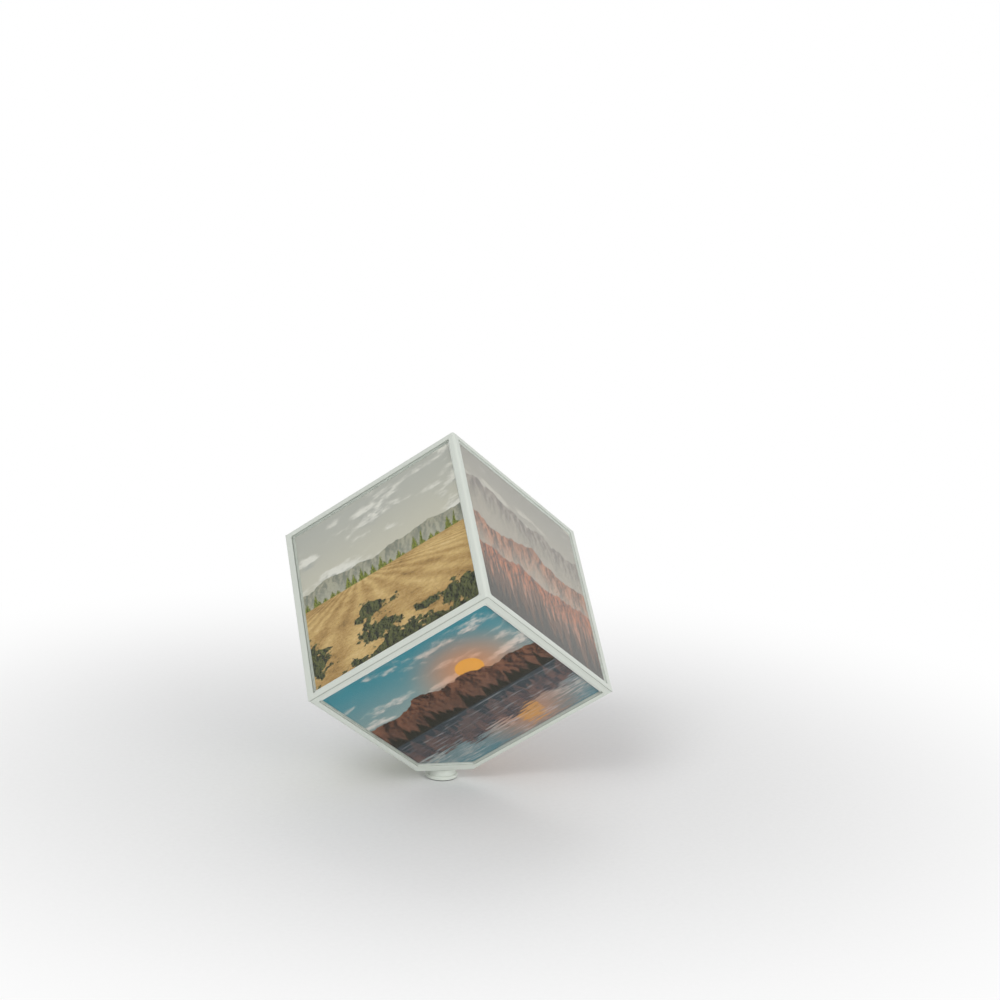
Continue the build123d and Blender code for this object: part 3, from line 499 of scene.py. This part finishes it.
def harvest_field(picture):
    """Pale sky over a row of firs and a straw field with dark bushes."""
    picture.sky(
        seed=1, level=0.45, amount=0.12, low=(0.60, 0.57, 0.47), high=(0.46, 0.46, 0.42),
        cloud=(0.76, 0.74, 0.68), shade=(0.42, 0.42, 0.39),
    )
    picture.ridge(
        seed=11, base=0.60, height=0.20, scale=3.0, shade=(0.20, 0.21, 0.17),
        lit=(0.40, 0.38, 0.29), haze=(0.48, 0.47, 0.39), thickness=0.2,
    )
    picture.trees(
        seed=14, base=0.48, height=0.08, count=24, dark=(0.03, 0.04, 0.01), pale=(0.28, 0.32, 0.04),
    )
    picture.field(seed=19, level=0.49, vanish=0.35, stops=STRAW)
    picture.bushes(
        seed=23, low=0.0, high=0.60, scale=4.2, dark=(0.008, 0.01, 0.006), pale=(0.11, 0.12, 0.04),
    )


def misty_ridges(picture):
    """Grey sky behind rows of rust-coloured hills and dark trees."""
    haze = (0.44, 0.40, 0.33)
    picture.sky(
        seed=2, level=0.5, amount=0.12, low=(0.50, 0.46, 0.38), high=(0.34, 0.32, 0.28),
        cloud=(0.56, 0.53, 0.46), shade=(0.32, 0.30, 0.27),
    )
    picture.ridge(
        seed=21, base=0.78, height=0.40, scale=2.6, shade=(0.16, 0.14, 0.12),
        lit=(0.36, 0.31, 0.26), haze=haze, thickness=0.24,
    )
    picture.ridge(
        seed=25, base=0.56, height=0.36, scale=3.0, shade=(0.10, 0.05, 0.03),
        lit=(0.48, 0.22, 0.12), haze=haze, thickness=0.26,
    )
    picture.ridge(
        seed=29, base=0.36, height=0.30, scale=3.6, shade=(0.07, 0.03, 0.015),
        lit=(0.50, 0.17, 0.07), haze=haze, thickness=0.5,
    )
    picture.trees(
        seed=33, base=0.17, height=0.14, count=30, dark=(0.03, 0.02, 0.014), pale=(0.2, 0.1, 0.05),
    )
    picture.trees(
        seed=37, base=0.04, height=0.18, count=20, dark=(0.004, 0.005, 0.004),
        pale=(0.06, 0.05, 0.03),
    )


def evening_lake(picture):
    """Orange sun over brown hills and a lake that mirrors a teal sky."""
    picture.fold(seed=41, level=0.40)
    picture.sky(
        seed=4, level=0.45, amount=0.12, low=(0.30, 0.36, 0.34), high=(0.04, 0.24, 0.30),
        cloud=(0.66, 0.62, 0.58), shade=(0.20, 0.26, 0.28),
    )
    picture.sun(x=0.66, y=0.66, inner=0.02, outer=0.36, colour=(0.70, 0.24, 0.06), strength=0.7)
    picture.sun(x=0.66, y=0.66, inner=0.07, outer=0.078, colour=(0.85, 0.38, 0.06), strength=1.0)
    picture.ridge(
        seed=44, base=0.62, height=0.42, scale=2.6, shade=(0.03, 0.015, 0.01),
        lit=(0.22, 0.09, 0.05), haze=(0.12, 0.07, 0.05), thickness=0.3,
    )
    picture.trees(
        seed=47, base=0.42, height=0.1, count=22, dark=(0.004, 0.004, 0.004),
        pale=(0.03, 0.025, 0.01),
    )
    picture.water(seed=50, tint=(0.08, 0.12, 0.16), shine=(0.56, 0.58, 0.60))


def sea_cliffs(picture):
    """Blue sea and white clouds beside a green headland."""
    picture.fold(seed=61, level=0.36)
    picture.sky(
        seed=6, level=0.4, amount=0.13, low=(0.50, 0.62, 0.70), high=(0.10, 0.28, 0.54),
        cloud=(0.82, 0.83, 0.84), shade=(0.42, 0.48, 0.54),
    )
    picture.ridge(
        seed=64, base=0.54, height=0.60, scale=1.8, shade=(0.05, 0.08, 0.03),
        lit=(0.42, 0.36, 0.22), haze=(0.20, 0.24, 0.16), thickness=0.4,
    )
    picture.water(seed=67, tint=(0.03, 0.20, 0.28), shine=(0.70, 0.76, 0.78))
    picture.bushes(
        seed=70, low=-0.1, high=0.26, scale=5.0, dark=(0.01, 0.03, 0.01), pale=(0.12, 0.20, 0.05),
    )


def flower_meadow(picture):
    """Meadow with red, white and yellow flowers under a mild sky."""
    picture.sky(
        seed=8, level=0.6, amount=0.13, low=(0.62, 0.68, 0.70), high=(0.22, 0.40, 0.60),
        cloud=(0.82, 0.82, 0.80), shade=(0.46, 0.52, 0.56),
    )
    picture.ridge(
        seed=81, base=0.68, height=0.20, scale=2.6, shade=(0.05, 0.09, 0.06),
        lit=(0.22, 0.28, 0.16), haze=(0.36, 0.42, 0.38), thickness=0.2,
    )
    picture.trees(
        seed=84, base=0.58, height=0.08, count=22, dark=(0.01, 0.03, 0.01), pale=(0.08, 0.14, 0.03),
    )
    picture.meadow(
        seed=87, level=0.59, dark=(0.03, 0.07, 0.01), pale=(0.24, 0.34, 0.06), petals=PETALS,
    )


def desert_dunes(picture):
    """Warm sand ridges under a clear evening sky."""
    picture.sky(
        seed=10, level=0.5, amount=0.08, low=(0.72, 0.50, 0.34), high=(0.14, 0.26, 0.44),
        cloud=(0.80, 0.62, 0.48), shade=(0.40, 0.32, 0.34),
    )
    picture.dune(
        seed=101, base=0.62, height=0.36, scale=3.4, shade=(0.40, 0.21, 0.12),
        lit=(0.68, 0.43, 0.26), ripples=44,
    )
    picture.dune(
        seed=105, base=0.46, height=0.44, scale=2.6, shade=(0.28, 0.12, 0.05),
        lit=(0.70, 0.40, 0.20), ripples=32,
    )
    picture.dune(
        seed=109, base=0.26, height=0.50, scale=1.9, shade=(0.17, 0.06, 0.02),
        lit=(0.74, 0.42, 0.19), ripples=22,
    )
    picture.bushes(
        seed=113, low=-0.1, high=0.22, scale=6.0, dark=(0.02, 0.02, 0.01), pale=(0.16, 0.14, 0.05),
    )


# The view on each sheet, with its own directions to the right and up
SHEETS = {
    "picture_upper_left": (harvest_field, RIGHT, BACK),
    "picture_upper_right": (misty_ridges, -LEFT, BACK),
    "picture_upper_back": (sea_cliffs, LEFT, RIGHT),
    "picture_lower_front": (evening_lake, RIGHT, LEFT),
    "picture_lower_left": (flower_meadow, LEFT, BACK),
    "picture_lower_right": (desert_dunes, BACK, RIGHT),
}


def print_sheet(node):
    """The finished print of one sheet."""
    design, right, up = SHEETS[node.name]
    picture = Picture(node, right, up)
    design(picture)
    return picture.printed()


def finishes():
    """The material of each of the record's slots, apart from the pictures, and of the covers' edges."""
    along_y = (500.0, 60.0, 500.0)
    return {
        "shell": moulded("ivory_plastic", (0.60, 0.635, 0.58), roughness=0.40, mottle=0.02),
        "clear": clear_cover("clear_plastic"),
        "clear_edge": ground_edge("ground_edge"),
        "rubber": rubber("black_rubber", (0.025, 0.025, 0.027)),
        "steel": metal("plated_steel", (0.60, 0.60, 0.61), roughness=0.30),
        "nickel": metal("nickel_strip", (0.66, 0.63, 0.58), roughness=0.24, scratch=along_y),
        "brass": metal("brass", (0.72, 0.52, 0.22), roughness=0.30),
        "gear": moulded("gear_acetal", (0.78, 0.77, 0.71), roughness=0.42),
        "bearing": moulded("bearing_acetal", (0.70, 0.70, 0.66), roughness=0.36),
        "case": moulded("grey_plastic", (0.20, 0.215, 0.23), roughness=0.48, mottle=0.05, grain=0.5),
        "dark": moulded("black_plastic", (0.02, 0.02, 0.022), roughness=0.45, mottle=0.1, grain=0.5),
        "knob": moulded("red_plastic", (0.45, 0.03, 0.02), roughness=0.36),
        "cell": cell_jacket("cell_jacket"),
        "red_lead": moulded("red_insulation", (0.42, 0.02, 0.02), roughness=0.34),
        "black_lead": moulded("black_insulation", (0.02, 0.02, 0.02), roughness=0.36),
    }


def dress(node, material):
    """Gives a CAD node its finish and smooth shading on its round faces."""
    node.data.materials.clear()
    node.data.materials.append(material)
    node.data.shade_smooth()
    node.data.set_sharp_from_angle(angle=SMOOTH_BELOW)


def grind_edges(node, material):
    """Gives a clear plate's narrow faces their own finish."""
    node.data.materials.append(material)
    broad = max(node.data.polygons, key=lambda face: face.area).normal
    for face in node.data.polygons:
        face.material_index = int(abs(face.normal.dot(broad)) < BROAD_FACE)


def dress_all():
    slots = finishes()
    for part in frame["record"]["subparts"]:
        name, slot = part["node"], part["material_slot"]
        node = frame["nodes"][name]
        dress(node, print_sheet(node) if name in SHEETS else slots[slot])
        if slot == "clear":
            grind_edges(node, slots["clear_edge"])


# Stage: pale floor, white surround, light panels and camera

def backdrop_share(tree):
    """1 for rays that see the surround: from the camera, in gloss and through clear pieces."""
    path = tree.nodes.new("ShaderNodeLightPath")
    share = path.outputs["Is Camera Ray"]
    for name in ("Is Glossy Ray", "Is Transmission Ray"):
        larger = tree.nodes.new("ShaderNodeMath")
        larger.operation = "MAXIMUM"
        tree.links.new(share, larger.inputs[0])
        tree.links.new(path.outputs[name], larger.inputs[1])
        share = larger.outputs[0]
    return share


def set_world():
    world = bpy.data.worlds.new("soft_white")
    bpy.context.scene.world = world
    world.use_nodes = True
    tree = world.node_tree
    lighting = tree.nodes["Background"]
    lighting.inputs["Color"].default_value = (*SKY_COLOUR, 1.0)
    lighting.inputs["Strength"].default_value = SKY_STRENGTH
    seen = tree.nodes.new("ShaderNodeBackground")
    seen.inputs["Color"].default_value = (*WHITE, 1.0)
    seen.inputs["Strength"].default_value = 1.0
    either = tree.nodes.new("ShaderNodeMixShader")
    tree.links.new(backdrop_share(tree), either.inputs[0])
    tree.links.new(lighting.outputs[0], either.inputs[1])
    tree.links.new(seen.outputs[0], either.inputs[2])
    tree.links.new(either.outputs[0], tree.nodes["World Output"].inputs["Surface"])


def floor_material():
    """Pale paper floor that fades into the white surround away from the object."""
    paint = Painter("pale_floor")
    place = paint.place()
    fibre = paint.noise(place, scale=400.0)
    dull = tuple(c * 0.97 for c in FLOOR_COLOUR)
    paint.surface(Base_Color=paint.between(fibre, dull, FLOOR_COLOUR), Roughness=0.9)
    away = paint.add("ShaderNodeVectorMath", {0: place}, operation="LENGTH").outputs["Value"]
    fade = paint.math("MULTIPLY", paint.rise(away, *FLOOR_FADE), backdrop_share(paint.tree))
    white = paint.add("ShaderNodeEmission", {"Color": WHITE, "Strength": 1.0})
    inputs = {0: fade, 1: paint.shader.outputs[0], 2: white.outputs[0]}
    paint.feed(paint.output.inputs["Surface"], paint.add("ShaderNodeMixShader", inputs).outputs[0])
    return paint.material


def add_floor():
    mesh = bpy.data.meshes.new("floor")
    signs = ((-1, -1), (1, -1), (1, 1), (-1, 1))
    corners = [(x * FLOOR_REACH, y * FLOOR_REACH, cad_low.z) for x, y in signs]
    mesh.from_pydata(corners, [], [(0, 1, 2, 3)])
    mesh.materials.append(floor_material())
    floor = bpy.data.objects.new("floor", mesh)
    bpy.context.scene.collection.objects.link(floor)


def add_panels():
    """Lights the stage; no cover mirrors a panel, which would wash out its picture."""
    for name, (place, aim_height, side, watts) in PANELS.items():
        light = bpy.data.lights.new(name, "AREA")
        light.size = side
        light.energy = watts
        panel = bpy.data.objects.new(name, light)
        panel.location = place
        towards = Vector((0, 0, aim_height)) - place
        panel.rotation_mode = "QUATERNION"
        panel.rotation_quaternion = towards.to_track_quat("-Z", "Y")
        panel.visible_glossy = False
        panel.visible_transmission = False
        bpy.context.scene.collection.objects.link(panel)


def add_camera():
    lens = bpy.data.cameras.new("camera")
    lens.lens = CAMERA_LENS
    lens.sensor_width = CAMERA_SENSOR
    camera = bpy.data.objects.new("camera", lens)
    camera.location = CAMERA_PLACE
    camera.rotation_mode = "QUATERNION"
    level = (CAMERA_AIM - CAMERA_PLACE).to_track_quat("-Z", "Y")
    camera.rotation_quaternion = level @ Quaternion((0, 0, 1), CAMERA_ROLL)
    bpy.context.scene.collection.objects.link(camera)
    bpy.context.scene.camera = camera


bpy.context.scene.view_settings.view_transform = "Standard"
add_camera()
set_world()
add_floor()
add_panels()
dress_all()
